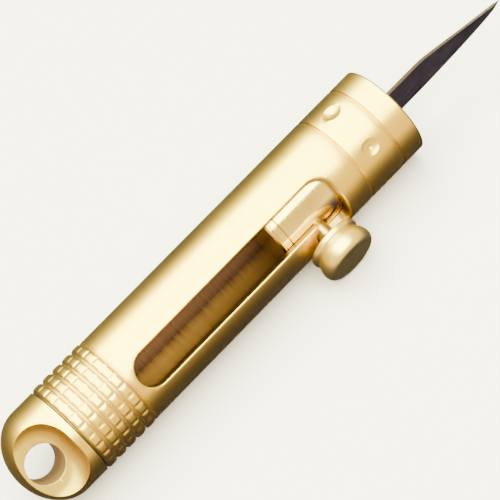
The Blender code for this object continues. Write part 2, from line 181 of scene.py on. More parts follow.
def even(steps):
    return [360.0 * k / steps for k in range(steps)]


def arc(cx, cy, radius, start, end, steps):
    turns = [math.radians(start + (end - start) * k / steps) for k in range(steps + 1)]
    return [(cx + radius * math.cos(t), cy + radius * math.sin(t)) for t in turns]


def circle(cx, radius, steps):
    return arc(cx, 0, radius, 0, 360 - 360 / steps, steps - 1)


def rounded(corners, steps):
    """Rounds the corners of a closed outline, each given as (x, y, radius)."""
    out = []
    count = len(corners)
    for k, (x, y, radius) in enumerate(corners):
        here = Vector((x, y))
        if radius <= 0:
            out.append((x, y))
            continue
        before = Vector(corners[k - 1][:2]) - here
        after = Vector(corners[(k + 1) % count][:2]) - here
        reach = radius / math.tan(before.angle(after) / 2)
        reach = min(reach, before.length * 0.48, after.length * 0.48)
        a = here + before.normalized() * reach
        b = here + after.normalized() * reach
        for s in range(steps + 1):
            t = s / steps
            p = a * (1 - t) ** 2 + here * 2 * t * (1 - t) + b * t**2
            out.append(tuple(p))
    return out


def loft(name, levels, material):
    """A closed solid through outlines of the same length, capped at both ends."""
    count = len(levels[0])
    vertices = [v for level in levels for v in level]
    faces = [tuple(range(count)), tuple(range(len(vertices) - count, len(vertices)))]
    for low in range(len(levels) - 1):
        for k in range(count):
            n = (k + 1) % count
            a = low * count
            faces.append((a + k, a + n, a + count + n, a + count + k))
    obj = mesh_object(name, vertices, faces, [material])
    work = bmesh.new()
    work.from_mesh(obj.data)
    caps = [f for f in work.faces if len(f.verts) > 4]
    bmesh.ops.triangulate(work, faces=caps, ngon_method="EAR_CLIP")
    work.to_mesh(obj.data)
    work.free()
    return obj


def cut(target, *cutters):
    """Cuts the solids away for good; the walls left take the cutters' materials."""
    for cutter in cutters:
        boolean = target.modifiers.new("cut", "BOOLEAN")
        boolean.operation = "DIFFERENCE"
        boolean.solver = "EXACT"
        boolean.object = cutter
        boolean.material_mode = "TRANSFER"
    bpy.context.view_layer.update()
    graph = bpy.context.evaluated_depsgraph_get()
    mesh = bpy.data.meshes.new_from_object(target.evaluated_get(graph))
    target.modifiers.clear()
    target.data = mesh
    for cutter in cutters:
        bpy.data.objects.remove(cutter, do_unlink=True)
    return target


# ---------------------------------------------------------------- materials


class Nodes:
    """A short way to write a material's nodes."""

    def __init__(self, name):
        self.material = bpy.data.materials.new(name)
        self.material.use_nodes = True
        self.tree = self.material.node_tree
        self.shader = self.tree.nodes["Principled BSDF"]
        self.place = self.add("ShaderNodeTexCoord").outputs["Object"]

    def add(self, kind, **values):
        node = self.tree.nodes.new(kind)
        for key, value in values.items():
            setattr(node, key, value)
        return node

    def link(self, output, socket):
        self.tree.links.new(output, socket)

    def scaled(self, x, y, z):
        node = self.add("ShaderNodeMapping")
        node.inputs["Scale"].default_value = (x, y, z)
        self.link(self.place, node.inputs["Vector"])
        return node.outputs["Vector"]

    def noise(self, scale, detail, rough, vector=None):
        node = self.add("ShaderNodeTexNoise")
        node.inputs["Scale"].default_value = scale
        node.inputs["Detail"].default_value = detail
        node.inputs["Roughness"].default_value = rough
        self.link(vector or self.place, node.inputs["Vector"])
        return node.outputs["Fac"]

    def span(self, value, low, high, to_low, to_high):
        node = self.add("ShaderNodeMapRange")
        node.inputs["From Min"].default_value = low
        node.inputs["From Max"].default_value = high
        node.inputs["To Min"].default_value = to_low
        node.inputs["To Max"].default_value = to_high
        self.link(value, node.inputs["Value"])
        return node.outputs["Result"]

    def math(self, operation, a, b):
        node = self.add("ShaderNodeMath", operation=operation)
        for socket, value in zip(node.inputs, (a, b)):
            if isinstance(value, (int, float)):
                socket.default_value = value
            else:
                self.link(value, socket)
        return node.outputs["Value"]

    def mix(self, factor, a, b):
        node = self.add("ShaderNodeMix", data_type="RGBA")
        sockets = {s.name: s for s in node.inputs if s.enabled}
        for socket, value in zip(
            (sockets["Factor"], sockets["A"], sockets["B"]), (factor, a, b)
        ):
            if isinstance(value, tuple):
                socket.default_value = (*value, 1.0)
            elif isinstance(value, (int, float)):
                socket.default_value = value
            else:
                self.link(value, socket)
        return [s for s in node.outputs if s.enabled][0]

    def bump(self, height, strength, distance, below=None):
        node = self.add("ShaderNodeBump")
        node.inputs["Strength"].default_value = strength
        node.inputs["Distance"].default_value = distance
        self.link(height, node.inputs["Height"])
        if below:
            self.link(below, node.inputs["Normal"])
        return node.outputs["Normal"]

    def set(self, **values):
        for key, value in values.items():
            socket = self.shader.inputs[key.replace("_", " ")]
            if hasattr(value, "is_output"):
                self.link(value, socket)
            elif isinstance(value, tuple):
                socket.default_value = (*value, 1.0)
            else:
                socket.default_value = value
        return self.material


def satin_brass(name, tint, rough, metal=1.0):
    """Bead-blasted brass: a fine grain, soft clouding and faint handling marks."""
    n = Nodes(name)
    cloud = n.noise(scale=90.0, detail=4.0, rough=0.55)
    grain = n.noise(scale=9000.0, detail=2.0, rough=0.6)
    along = n.scaled(0.25, 1.0, 1.0)
    rub = n.noise(scale=60.0, detail=3.0, rough=0.6, vector=along)
    warm = tuple(c * k for c, k in zip(tint, (0.96, 0.93, 0.8)))
    colour = n.mix(n.span(cloud, 0.35, 0.7, 0.0, 1.0), tint, warm)
    roughness = n.math(
        "ADD",
        n.span(cloud, 0.3, 0.7, rough - 0.025, rough + 0.035),
        n.span(rub, 0.45, 0.75, 0.0, 0.045),
    )
    normal = n.bump(grain, strength=0.08, distance=0.01 * MM)
    return n.set(
        Base_Color=colour,
        Metallic=metal,
        Roughness=roughness,
        Normal=normal,
        Sheen_Weight=0.012,
        Sheen_Tint=(0.85, 0.85, 1.0),
    )


def turned_brass(name, tint, rough, rings, depth):
    """Brass straight off the lathe: fine rings around the handle's axis."""
    n = Nodes(name)
    turned = n.scaled(rings, 6.0, 6.0)
    marks = n.noise(scale=1.0, detail=3.0, rough=0.65, vector=turned)
    drawn = n.scaled(1.0, 0.6, 0.6)
    cloud = n.noise(scale=160.0, detail=3.0, rough=0.5, vector=drawn)
    darker_brass = tuple(c * k for c, k in zip(tint, (0.8, 0.72, 0.55)))
    colour = n.mix(n.span(cloud, 0.35, 0.7, 0.0, 1.0), tint, darker_brass)
    roughness = n.span(marks, 0.3, 0.7, rough - 0.05, rough + 0.07)
    normal = n.bump(marks, strength=depth, distance=0.02 * MM)
    return n.set(
        Base_Color=colour, Metallic=1.0, Roughness=roughness, Normal=normal
    )


def shaded_wall_brass(tint):
    """The opening's walls: painted shade darkens them, fading back to the brass's own colour
    at the brink.
    """
    n = Nodes("shaded wall brass")
    middle = n.add("ShaderNodeVectorMath", operation="SUBTRACT")
    middle.inputs[1].default_value = point(0, 0, 0)
    across = n.add("ShaderNodeVectorMath", operation="MULTIPLY")
    across.inputs[1].default_value = (0, 1, 1)
    length = n.add("ShaderNodeVectorMath", operation="LENGTH")
    n.link(n.place, middle.inputs[0])
    n.link(middle.outputs["Vector"], across.inputs[0])
    n.link(across.outputs["Vector"], length.inputs[0])
    cloud = n.noise(scale=900.0, detail=3.0, rough=0.6)
    # Painted shade: a dark tone on the walls down inside the opening.
    painted_wall_shade = n.mix(cloud, (0.3, 0.17, 0.05), (0.46, 0.29, 0.08))
    toward_brink = n.span(length.outputs["Value"], 5.85 * MM, 6.28 * MM, 0.0, 1.0)
    return n.set(
        Base_Color=n.mix(toward_brink, painted_wall_shade, tint),
        Metallic=1.0,
        Roughness=n.span(cloud, 0.3, 0.7, 0.26, 0.36),
    )


def bore_brass():
    """The tube's inside: turning marks on brass drawn near black as painted shade, and a
    brighter strip along its floor that is a painted pool of light.

    It darkens towards the nose, where less light gets in.
    """
    n = Nodes("bore brass")
    coarse_rings = n.scaled(3800.0, 220.0, 220.0)
    marks = n.noise(scale=1.0, detail=4.0, rough=0.7, vector=coarse_rings)
    fine_rings = n.scaled(7000.0, 60.0, 60.0)
    fine = n.noise(scale=1.0, detail=2.0, rough=0.6, vector=fine_rings)
    shade_of_mark = n.span(marks, 0.35, 0.65, 0.0, 1.0)
    # Painted shade: the bore's brass is drawn near black, its turning marks a little lighter.
    ring = n.mix(shade_of_mark, (0.045, 0.015, 0.009), (0.13, 0.052, 0.026))
    turn = math.radians(PAINTED_LIGHT_ANGLE)
    aim = n.add("ShaderNodeVectorMath", operation="DOT_PRODUCT")
    aim.inputs[1].default_value = (0, -math.sin(turn), math.cos(turn))
    middle = n.add("ShaderNodeVectorMath", operation="SUBTRACT")
    middle.inputs[1].default_value = point(-SEAM_X, 0, 0)
    n.link(n.place, middle.inputs[0])
    n.link(middle.outputs["Vector"], aim.inputs[0])
    ragged = n.math("MULTIPLY", marks, 0.2 * MM)
    depth = n.math("ADD", aim.outputs["Value"], ragged)
    # Painted light: a brighter, less metallic strip along the floor of the bore.
    painted_light_strip = n.span(depth, 4.76 * MM, 5.08 * MM, 0.0, 1.0)
    colour = n.mix(painted_light_strip, ring, (0.56, 0.25, 0.06))
    along = n.add("ShaderNodeSeparateXYZ")
    n.link(n.place, along.inputs["Vector"])
    deep = n.span(along.outputs["X"], -22.0 * MM, 0.0, 0.0, 0.75)
    colour = n.mix(deep, colour, (0.04, 0.014, 0.008))
    roughness = n.span(marks, 0.3, 0.7, 0.4, 0.55)
    coarse = n.bump(marks, strength=0.5, distance=0.03 * MM)
    normal = n.bump(fine, strength=0.25, distance=0.02 * MM, below=coarse)
    return n.set(
        Base_Color=colour,
        Metallic=n.span(painted_light_strip, 0.0, 1.0, 0.85, 0.65),
        Roughness=roughness,
        Normal=normal,
    )


def blade_steel():
    """Dark steel with soft clouding and a faint lengthwise polish."""
    n = Nodes("dark blade steel")
    lengthwise = n.scaled(220.0, 5200.0, 5200.0)
    streak = n.noise(scale=1.0, detail=4.0, rough=0.6, vector=lengthwise)
    cloud = n.noise(scale=260.0, detail=4.0, rough=0.6)
    clouding = n.span(cloud, 0.3, 0.75, 0.0, 1.0)
    colour = n.mix(clouding, (0.155, 0.138, 0.108), (0.275, 0.246, 0.195))
    roughness = n.span(streak, 0.3, 0.7, 0.26, 0.42)
    normal = n.bump(streak, strength=0.18, distance=0.01 * MM)
    return n.set(
        Base_Color=colour, Metallic=1.0, Roughness=roughness, Normal=normal
    )


def ground_steel():
    """The bright bevel, ground across the edge."""
    n = Nodes("ground bevel steel")
    crosswise = n.scaled(9000.0, 300.0, 300.0)
    lines = n.noise(scale=1.0, detail=2.0, rough=0.5, vector=crosswise)
    roughness = n.span(lines, 0.3, 0.7, 0.2, 0.34)
    normal = n.bump(lines, strength=0.2, distance=0.01 * MM)
    return n.set(
        Base_Color=(0.19, 0.17, 0.16), Metallic=1.0, Roughness=roughness, Normal=normal
    )


def spring_wire():
    n = Nodes("spring wire")
    streak = n.noise(scale=3000.0, detail=2.0, rough=0.5)
    return n.set(
        Base_Color=(0.5, 0.5, 0.52),
        Metallic=1.0,
        Roughness=n.span(streak, 0.3, 0.7, 0.22, 0.36),
    )


def seal_rubber():
    n = Nodes("seal rubber")
    grain = n.noise(scale=5000.0, detail=3.0, rough=0.6)
    return n.set(
        Base_Color=(0.018, 0.018, 0.02),
        Roughness=n.span(grain, 0.3, 0.7, 0.5, 0.7),
        Normal=n.bump(grain, strength=0.2, distance=0.02 * MM),
    )


# ---------------------------------------------------------------- barrel


def wall_angle(radius):
    """How far round from the slot's middle its parallel wall stands at a radius."""
    return math.degrees(math.asin(SLOT_HALF / radius))


def opening_outline():
    """Slot and notch as one outline of (station, across, angle, share) points.

    The slot's walls are parallel, so its points keep a distance across the slot's
    middle line. The notch's walls point at the axis, so its points keep an angle;
    share blends the first few of them into the slot's wall.
    """
    half, rear, front = SLOT_HALF, SLOT_REAR, SLOT_FRONT
    bolt, hook = BOLT_STATION, HOOK_STATION
    pocket, corner = 1.45, 2.0
    deg = math.degrees(1 / BARREL_R)
    points = [(x, y, 0, 0) for x, y in arc(rear + half, 0, half, 90, 270, 40)]
    length = hook - rear - half
    points += [(rear + half + k * length / 40, -half, 0, 0) for k in range(1, 40)]
    tip = SLOT_ANGLE + wall_angle(BARREL_R)
    throat_span = 16.0
    points.append((hook - 0.06, None, tip + 0.15, 1.0))
    for k in range(1, 13):
        t = k / 12
        drop = (hook - (bolt - pocket)) * math.sin(math.radians(90 * t))
        points.append((hook - drop, None, tip + 0.8 + throat_span * t, 1 - t))
    notch = [(bolt - pocket, KNOB_ANGLE - 12 + k) for k in range(0, 12, 2)]
    notch += [(x, KNOB_ANGLE + y * deg) for x, y in arc(bolt, 0, pocket, 180, 90, 14)]
    turn = arc(front - corner, pocket - corner, corner, 90, 0, 16)
    notch += [(x, KNOB_ANGLE + y * deg) for x, y in turn]
    start = notch[-1][1]
    notch += [
        (front, start + (SLOT_ANGLE + 2 - start) * k / 10) for k in range(1, 10)
    ]
    points += [(x, None, angle, 0) for x, angle in notch]
    points += [(x, y, 0, 0) for x, y in arc(front - half, 0, half, 0, 90, 20)]
    length = front - half - rear - half
    points += [(front - half - k * length / 50, half, 0, 0) for k in range(1, 50)]
    return points


def brink_shares(points):
    """Which way is outwards at each point of the opening, and how much to round it.

    The rounding fades out at the hook, whose tip is too thin for it.
    """
    flat = []
    for x, across, angle, _ in points:
        if across is not None:
            angle = SLOT_ANGLE - math.degrees(math.asin(across / BARREL_R))
        flat.append(Vector((x, math.radians(angle) * BARREL_R)))
    tip_angle = math.radians(SLOT_ANGLE + wall_angle(BARREL_R))
    tip = Vector((HOOK_STATION - 0.1, tip_angle * BARREL_R))
    plain, fade = 0.35, 1.2
    out = []
    for k, here in enumerate(flat):
        along = flat[(k + 3) % len(flat)] - flat[k - 3]
        normal = Vector((along.y, -along.x)).normalized()
        share = min(1.0, max(0.0, ((here - tip).length - plain) / fade))
        out.append(normal * share * share * (3 - 2 * share))
    area = sum(p.cross(q) for p, q in zip(flat, flat[1:] + flat[:1]))
    return [n if area > 0 else -n for n in out]


def opening_level(points, shares, radius, spread):
    """The opening's outline at one distance from the axis, spread outwards a little."""
    lean = wall_angle(radius) - wall_angle(BARREL_R)
    out = []
    for (x, across, angle, share), outward in zip(points, shares):
        if across is None:
            angle += lean * share
        else:
            angle = SLOT_ANGLE - math.degrees(math.asin(across / radius))
        angle += math.degrees(outward.y * spread / radius)
        out.append(point(x + outward.x * spread, radius, angle))
    return out


def opening_cutter(wall):
    """Slot and notch as one solid whose sides flare to round the brink."""
    points = opening_outline()
    shares = brink_shares(points)
    below_bore, in_wall, outside = 4.2, 5.4, 11.0
    steps = [(below_bore, 0.0), (in_wall, 0.0)]
    for k in range(5):
        t = math.radians(20 * k)
        steps.append((BARREL_R - BRINK * (1 - math.sin(t)), BRINK * (1 - math.cos(t))))
    steps += [(BARREL_R + 0.04, BRINK * 1.3), (outside, BRINK * 1.3)]
    levels = [opening_level(points, shares, radius, spread) for radius, spread in steps]
    return loft("opening", levels, wall)


def knurl_angles():
    """Angles for the barrel's mesh: fine steps, with each pad groove's shape."""
    pitch = 360.0 / PADS
    within = [0.0, 0.3, 0.7, 1.2, 1.8, 2.5, 3.3, 4.3, 5.5, pitch / 2]
    within += [pitch - w for w in reversed(within[1:9])]
    return [PAD_GROOVE_ANGLE + k * pitch + w for k in range(PADS) for w in within]


def knurl_shape(station, radius, angle):
    """Rounds each pad of the grip bands down to the grooves on its two sides."""
    if station > GRIP_END or radius < PAD_FLOOR:
        return radius
    pitch = 360.0 / PADS
    turn = (angle - PAD_GROOVE_ANGLE) % pitch
    aside = max(0.0, (abs(2 * turn / pitch - 1) - 0.5) / 0.5)
    return radius - (radius - PAD_FLOOR) * aside**2 * (3 - 2 * aside)


def grip_band(start):
    """One crowned band, with points crowded at its two steep sides."""
    points = []
    for t in range(17):
        share = 0.5 - 0.5 * math.cos(math.pi * t / 16)
        lift = 1 - abs(2 * share - 1) ** 4
        height = BAND_FLOOR + (BAND_TOP - BAND_FLOOR) * lift
        points.append((start + BAND_WIDTH * share, height))
    return points


def nose_groove(middle):
    points = []
    for k in range(-6, 7):
        sink = 0.5 + 0.5 * math.cos(math.pi * k / 6)
        height = BARREL_R - NOSE_GROOVE_DEPTH * sink
        points.append((middle + NOSE_GROOVE_HALF * k / 6, height))
    return points


def barrel_profile():
    """The tube's outline: outside from the seam to the nose, then back inside it."""
    points = [(0.0, BORE_R), (0.0, BAND_FLOOR), (0.1, BAND_FLOOR)]
    for k in range(BANDS):
        points += grip_band(0.1 + BAND_PITCH * k)
    points += [(8.24, BAND_FLOOR), (8.29, 6.44), (8.33, BARREL_R), (8.41, BARREL_R)]
    points += [(8.44, 6.45), (8.48, 6.42), (8.52, 6.45), (8.56, BARREL_R)]
    points += [(9 + k, BARREL_R) for k in range(37)]
    rear_groove, front_groove = NOSE_GROOVES
    points += nose_groove(rear_groove)
    points += [(rear_groove + 1 + 0.9 * k, BARREL_R) for k in range(5)]
    points += nose_groove(front_groove)
    points += [(x, BARREL_R) for x in (52.9, 53.2, 54.2, 55.2, 55.74)]
    corner = BARREL_CHAMFER
    points += arc(BARREL_END - corner, BARREL_R - corner, corner, 90, 0, 6)
    mouth_r, bore_front, bore_length = 2.5, 53.4, 53.2
    points += [(BARREL_END, mouth_r + 0.2), (BARREL_END - 0.06, mouth_r + 0.06)]
    points += [(BARREL_END - 0.2, mouth_r), (bore_front, mouth_r), (bore_front, BORE_R)]
    points += [(bore_front - bore_length * k / 40, BORE_R) for k in range(1, 40)]
    return points


def barrel_slot(x0, r0, x1, r1):
    """Which material a stretch of the outline takes: skin, bore, groove or rim."""
    skin, bore, groove, rim = range(4)
    nose_wall = 55.5
    if max(r0, r1) <= BORE_R + 1e-6 and max(x0, x1) <= nose_wall:
        return bore
    if min(r0, r1) > 6.2 and (x1 > BARREL_END - BARREL_CHAMFER - 0.01 or x1 < 0.12):
        return rim
    if max(r0, r1) < 6.45 and x1 < 8.4:
        return groove
    return skin


def build_barrel(skin, bore, darker_brass, edge, wall):
    profile = barrel_profile()
    ends = profile[1:] + profile[:1]
    slots = [barrel_slot(*start, *end) for start, end in zip(profile, ends)]
    barrel = revolve(
        "barrel_body",
        profile,
        knurl_angles(),
        [skin, bore, darker_brass, edge],
        shape=knurl_shape,
        slots=slots,
    )
    dimples = [dimple_ball(k, skin) for k in range(DIMPLES)]
    cut(barrel, opening_cutter(wall), *dimples)
    shade(barrel, 28)
    return barrel


def dimple_ball(index, material):
    """The shallow round hollow, with a small mark left by the tool's point."""
    radius, depth, count = 1.28, 0.3, 48
    ball = (radius**2 + depth**2) / (2 * depth)
    angle = SLOT_ANGLE + 360 / DIMPLES * index
    mark = [(0.0, -0.07), (0.08, -0.062), (0.17, -0.035), (0.26, -0.005)]
    start = 6.0
    reach = math.degrees(math.asin((radius + 0.25) / ball))
    rings = list(mark)
    for k in range(1, 15):
        t = math.radians(start + (reach - start) * k / 14)
        rings.append((ball * math.sin(t), ball * (1 - math.cos(t))))
    rings.append((radius + 0.6, 1.2))
    faces = []
    base = BARREL_R - depth
    vertices = [upright(DIMPLE_STATION, 0, base + rings[0][1], angle)]
    for r, h in rings[1:]:
        for k in range(count):
            t = 2 * math.pi * k / count
            x, y = DIMPLE_STATION + r * math.cos(t), r * math.sin(t)
            vertices.append(upright(x, y, base + h, angle))
    for k in range(count):
        n = (k + 1) % count
        faces.append((0, 1 + k, 1 + n))
        for row in range(len(rings) - 2):
            a = 1 + row * count
            faces.append((a + k, a + n, a + count + n, a + count + k))
    last = 1 + (len(rings) - 2) * count
    faces.append(tuple(range(last, last + count)))
    return mesh_object(f"dimple {index}", vertices, faces, [material])


# ---------------------------------------------------------------- tail cap


def cap_profile():
    """Dome, straight band, rounded edge at the seam, and the grooved spigot."""
    dome_start, dome_length = -3.4, 5.4
    spigot_r, groove_r = 4.93, 3.9
    dome = arc(0, 0, 1, 180, 90, 36)
    points = [(dome_start + dome_length * x, BARREL_R * y) for x, y in dome]
    points[0] = (points[0][0], 0.0)
    points[-1] = (dome_start, BARREL_R)
    points += [(x, BARREL_R) for x in (-2.6, -1.8, -1.0, -0.5)]
    points += arc(-0.19, BARREL_R - 0.07, 0.07, 90, 0, 4)
    points += [(-0.12, spigot_r), (2.7, spigot_r), (2.7, groove_r)]
    points += [(3.9, groove_r), (3.9, spigot_r), (4.3, spigot_r)]
    points += [(4.6, spigot_r - 0.3), (4.6, 0.0)]
    return points


def build_cap(skin, edge, milled_and_shaded, drilled_and_shaded):
    profile = cap_profile()
    ends = profile[1:] + profile[:1]
    slots = [1 if -0.2 < min(x0, x1) < 0 else 0 for (x0, _), (x1, _) in zip(profile, ends)]
    cap = revolve("tail_cap_body", profile, even(192), [skin, edge], slots=slots)
    flats = [facet_cutter(side, milled_and_shaded) for side in (0, 180)]
    cut(cap, *flats, ring_hole_cutter(drilled_and_shaded))
    shade(cap, 32)
    return cap


def facet_outline(inset):
    """A finger flat seen square on, drawn in from its brink by an inset."""
    edge, wide, corner, far = -1.16, 5.55, 4.2, -13.0
    r = corner - inset
    points = arc(edge - corner, corner - wide, r, -90, 0, 16)
    points += arc(edge - corner, wide - corner, r, 0, 90, 16)
    return points + [(far, wide - inset), (far, inset - wide)]


def facet_cutter(side, material):
    """A finger flat: a level floor that runs up to the brink in a hollow curve."""
    hollow = 2.0
    levels = []
    for k in range(13):
        t = math.radians(90 * k / 12)
        height = FACET_FLOOR + hollow * (1 - math.cos(t))
        levels.append((height, hollow * (1 - math.sin(t))))
    levels.append((CUTTER_TOP, 0.0))
    rings = [
        [upright(x, y, z, FACET_ANGLE + side) for x, y in facet_outline(inset)]
        for z, inset in levels
    ]
    return loft(f"facet {side}", rings, material)


def ring_hole_cutter(material):
    """The ring's hole, its two mouths broken by a small rounded edge."""
    edge = 0.12
    mouth = []
    for k in range(5):
        t = math.radians(90 * k / 4)
        height = FACET_FLOOR + (edge * math.sin(t) - edge)
        mouth.append((height, RING_HOLE_R + edge * (1 - math.cos(t))))
    mouth.append((CUTTER_TOP, mouth[-1][1]))
    levels = []
    for z, r in [(-z, r) for z, r in reversed(mouth)] + mouth:
        outline = circle(RING_HOLE_STATION, r, 128)
        levels.append([upright(x, y, z, FACET_ANGLE) for x, y in outline])
    return loft("ring hole", levels, material)


# ---------------------------------------------------------------- carriage


def bolt_place(height, radius, degrees):
    """Places a profile turned about the bolt's own axis."""
    turn = math.radians(degrees)
    x, y = BOLT_STATION + radius * math.cos(turn), radius * math.sin(turn)
    return upright(x, y, height, KNOB_ANGLE)


def build_collar(skin):
    low, high, radius, waist_r = 6.95, 7.95, 3.66, 3.32
    collar = [
        (low, 0.0, 0),
        (low, radius, 0.5),
        (high - 0.23, radius, 0.4),
        (high, waist_r, 0.08),
        (high, 0.0, 0),
    ]
    outline = rounded(collar, 9)
    return revolve("knob_collar_body", outline, even(128), [skin], bolt_place)


def build_knob(skin):
    """The knob swells from its foot to a belly and rounds over to a flat end."""
    foot, waist, belly, top = 7.97, 8.05, 9.5, 10.6
    waist_r, swell, corner = 3.32, 0.54, 0.8
    face_r = waist_r + swell - corner
    knob = [(foot, 0.0), (foot, waist_r - 0.02), (waist, waist_r)]
    for k in range(1, 17):
        t = k / 16
        bulge = math.sin(math.pi / 2 * t) ** 0.8
        knob.append((waist + (belly - waist) * t, waist_r + swell * bulge))
    for k in range(1, 17):
        t = math.radians(90 * k / 16)
        height = belly + (top - belly) * math.sin(t)
        knob.append((height, face_r + corner * math.cos(t)))
    knob += [(top, 2.4), (top, 1.2), (top, 0.0)]
    return revolve("bolt_knob_body", knob, even(128), [skin], bolt_place)


def build_neck(skin):
    """The bolt's neck, which the solids leave open, from the stud to the collar."""
    low, flare_start, flare_length = 4.76, 5.9, 1.04
    radius, flare = 1.26, 0.85
    neck = [(low, 0.0), (low, radius), (flare_start, radius)]
    for k in range(1, 13):
        t = k / 12
        neck.append((flare_start + flare_length * t, radius + flare * t**3))
    neck.append((flare_start + flare_length, 0.0))
    return revolve("bolt_neck", neck, even(64), [skin], bolt_place)


def build_carrier(skin):
    rear, front, socket_end, socket_r = 35.0, 46.6, 36.6, 3.25
    profile = [
        (socket_end, 0.0, 0),
        (socket_end, socket_r, 0),
        (rear, socket_r, 0),
        (rear, CARRIER_R, 0.12),
        (front, CARRIER_R, 0.15),
        (front, 0.0, 0),
    ]
    carrier = revolve("blade_carrier_body", rounded(profile, 4), even(160), [skin])
    thick, wide = BLADE_HALF_THICK + 0.06, BLADE_HALF_WIDTH + 0.05
    corners = [(-thick, -wide), (thick, -wide), (thick, wide), (-thick, wide)]
    low = [upright(36.9, y, z, BLADE_ANGLE) for y, z in corners]
    high = [upright(front + 1, y, z, BLADE_ANGLE) for y, z in corners]
    tang = loft("tang slot", [low, high], skin)
    hole_r, hole_floor, hole_top = 1.35, 1.6, 6.0
    outline = circle(BOLT_STATION, hole_r, 64)
    hole = [[upright(x, y, z, KNOB_ANGLE) for x, y in outline] for z in (hole_floor, hole_top)]
    cut(carrier, tang, loft("stud hole", hole, skin))
    shade(carrier, 30)
    return carrier


def build_plug(skin):
    """The end plug: a chamfer, one fine groove, and the spigot inside the carrier."""
    rear, face, spigot_end, spigot_r = 33.5, 34.98, 36.5, 3.2
    groove, half, sink = 34.0, 0.08, 0.14
    profile = [
        (rear, 0.0, 0),
        (rear, CARRIER_R - 0.3, 0.06),
        (rear + 0.3, CARRIER_R, 0.05),
        (groove - half, CARRIER_R, 0.02),
        (groove, CARRIER_R - sink, 0.03),
        (groove + half, CARRIER_R, 0.02),
        (face - 0.12, CARRIER_R, 0.04),
        (face, CARRIER_R - sink, 0.02),
        (face, spigot_r, 0),
        (spigot_end, spigot_r, 0),
        (spigot_end, 0.0, 0),
    ]
    return revolve("carrier_end_plug_body", rounded(profile, 4), even(160), [skin])


def blade_section(station):
    """Heights of the spine and the edge, and the bevel's width, at one station."""
    knee, slope, softness = 63.3, 0.2165, 0.8
    past = station - knee
    edge = -BLADE_HALF_WIDTH + slope * (past + math.hypot(past, softness)) / 2
    drop_start = 60.0
    share = max(0.0, (station - drop_start) / (BLADE_TIP - drop_start))
    drop = BLADE_HALF_WIDTH - TIP_HEIGHT
    spine = BLADE_HALF_WIDTH - drop * (0.65 * share**1.9 + 0.35 * share**12)
    grind = min(1.0, max(0.0, (station - GRIND_START) / GRIND_RUN))
    bevel = min((0.4 - 0.34 * share) * grind, (spine - edge) * 0.3)
    return spine, edge, bevel


def blade_stations():
    """Stations from the tang to just short of the tip, closer where the shape turns."""
    stations = [37.1, 45.0, GRIND_START - 0.1, GRIND_START]
    stations += [GRIND_START + GRIND_RUN * k / 6 for k in range(1, 7)]
    stations += [55.6 + k * 0.5 for k in range(20)]
    start, end = 65.6, BLADE_TIP - 0.1
    stations += [start + (end - start) * (1 - (1 - k / 60) ** 1.3) for k in range(61)]
    return stations


def build_blade(steel, bright):
    """A lofted strip whose two ground faces and edge take the bright steel."""
    ground = (2, 3, 4)
    stations = blade_stations()
    vertices, faces, indices = [], [], []
    for station in stations:
        spine, edge, bevel = blade_section(station)
        half = min(BLADE_HALF_THICK, (spine - edge) * 0.3)
        thin = half if bevel <= 0 else min(half, 0.015)
        height = edge + max(bevel, 0.02)
        soft = min(0.05, half * 0.3)
        ring = [
            (half - soft, spine),
            (half, spine - soft),
            (half, height),
            (thin, edge),
            (-thin, edge),
            (-half, height),
            (-half, spine - soft),
            (soft - half, spine),
        ]
        vertices += [upright(station, y, z, BLADE_ANGLE) for y, z in ring]
    count = len(ring)
    faces.append(tuple(range(count)))
    indices.append(0)
    for row in range(len(stations) - 1):
        for k in range(count):
            n = (k + 1) % count
            a = row * count
            faces.append((a + k, a + n, a + count + n, a + count + k))
            indices.append(1 if k in ground else 0)
    tip = len(vertices)
    vertices.append(upright(BLADE_TIP, 0, TIP_HEIGHT, BLADE_ANGLE))
    last = (len(stations) - 1) * count
    for k in range(count):
        faces.append((last + k, last + (k + 1) % count, tip))
        indices.append(1 if k in ground else 0)
    return mesh_object("blade_body", vertices, faces, [steel, bright], indices, 12)


def build_spring(wire):
    """The coil at rest, between the nose and the thrust washer.

    The wire is thin along the handle here, so that it comes out round when stretched.
    """
    turns, steps, sides = 9, 40, 12
    rear, front, mean = 47.15, 53.35, 4.3
    thick, thin = 0.22, 0.06
    travel = front - rear - 2 * thick
    closed = 2 * thick * 1.06
    rise = (travel - 2 * closed) / (turns - 2)
    vertices, faces = [], []
    total = turns * steps
    for k in range(total + 1):
        t = k / steps
        along = min(t, 1) * closed + min(max(t - 1, 0), turns - 2) * rise
        along += max(t - 1 - (turns - 2), 0) * closed
        middle = rear + thick + along
        for side in range(sides):
            a = 2 * math.pi * side / sides
            x, r = middle + thin * math.cos(a), mean + thick * math.sin(a)
            vertices.append(point(x, r, 360 * t))
    faces.append(tuple(range(sides)))
    faces.append(tuple(range(total * sides, (total + 1) * sides)))
    for k in range(total):
        for side in range(sides):
            n = (side + 1) % sides
            a = k * sides
            faces.append((a + side, a + n, a + sides + n, a + sides + side))
    return mesh_object("return_spring_coil", vertices, faces, [wire])


# ---------------------------------------------------------------- stage


def build_stage():
    mesh = bpy.data.meshes.new("floor")
    reach = 4.0
    corners = [(x, y, 0) for x, y in ((-1, -1), (1, -1), (1, 1), (-1, 1))]
    mesh.from_pydata([Vector(c) * reach for c in corners], [], [(0, 1, 2, 3)])
    floor = bpy.data.objects.new("floor", mesh)
    bpy.context.scene.collection.objects.link(floor)
    n = Nodes("pale floor")
    speck = n.noise(scale=400.0, detail=2.0, rough=0.5)
    mesh.materials.append(
        n.set(
            Base_Color=n.mix(speck, (0.84, 0.765, 0.98), (0.86, 0.785, 1.0)),
            Roughness=0.9,
            Specular_IOR_Level=0.0,
        )
    )
    floor.visible_glossy = False


